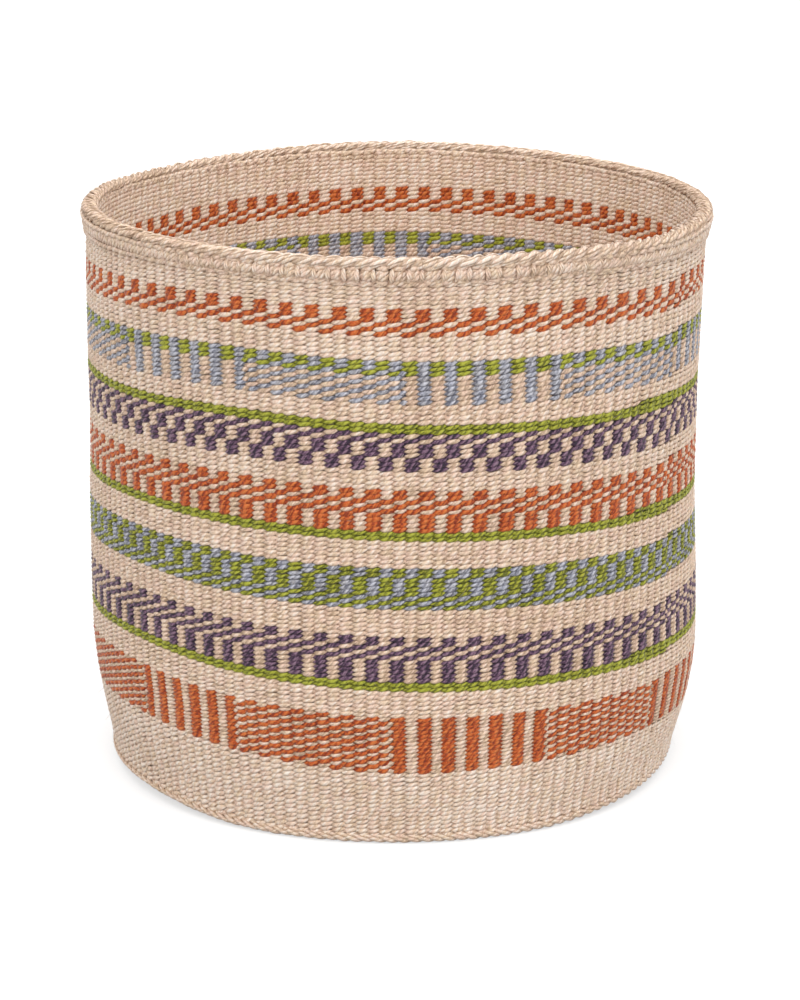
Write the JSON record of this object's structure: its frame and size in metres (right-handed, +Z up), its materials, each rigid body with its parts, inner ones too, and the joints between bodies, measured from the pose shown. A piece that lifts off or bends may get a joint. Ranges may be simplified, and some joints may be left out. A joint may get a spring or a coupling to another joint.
{
  "type": "kiondo basket",
  "caption": "Round open basket of twined plant fibre, with upright warps, coloured weft bands in stripe and block patterns, a flat base and a thick braided rim.",
  "frame": {"origin": "on the basket's axis, at the underside of its flat base", "axes": "+Z up along the basket's axis, out of its mouth; the side in the picture faces -Y and +X is to its right"},
  "size_m": [0.276, 0.276, 0.254],
  "materials": {
    "natural_fibre": "undyed sisal yarn, dry and matt",
    "orange_fibre": "burnt-orange dyed sisal yarn, matt",
    "green_fibre": "moss-green dyed sisal yarn, matt",
    "purple_fibre": "dark purple dyed sisal yarn, matt",
    "blue_fibre": "grey-blue dyed sisal yarn, matt"
  },
  "bodies": {
    "root": {"base_start": "natural_fibre", "base_weft_inner": "natural_fibre", "base_weft_outer": "natural_fibre", "foot_ridge": "natural_fibre", "foot_weft": "natural_fibre", "orange_block_band": "orange_fibre", "plain_band_1": "natural_fibre", "green_stripe_1": "green_fibre", "purple_band_1": "purple_fibre", "plain_band_2": "natural_fibre", "green_blue_band_1": "blue_fibre", "plain_band_3": "natural_fibre", "green_stripe_2": "green_fibre", "orange_band_1": "orange_fibre", "plain_band_4": "natural_fibre", "purple_band_2": "purple_fibre", "green_stripe_3": "green_fibre", "plain_band_5": "natural_fibre", "green_blue_band_2": "blue_fibre", "plain_band_6": "natural_fibre", "orange_band_2": "orange_fibre", "neck_weft": "natural_fibre", "rim_lashing": "natural_fibre", "rim_braid": "natural_fibre", "warps": "natural_fibre"}
  },
  "joints": []
}
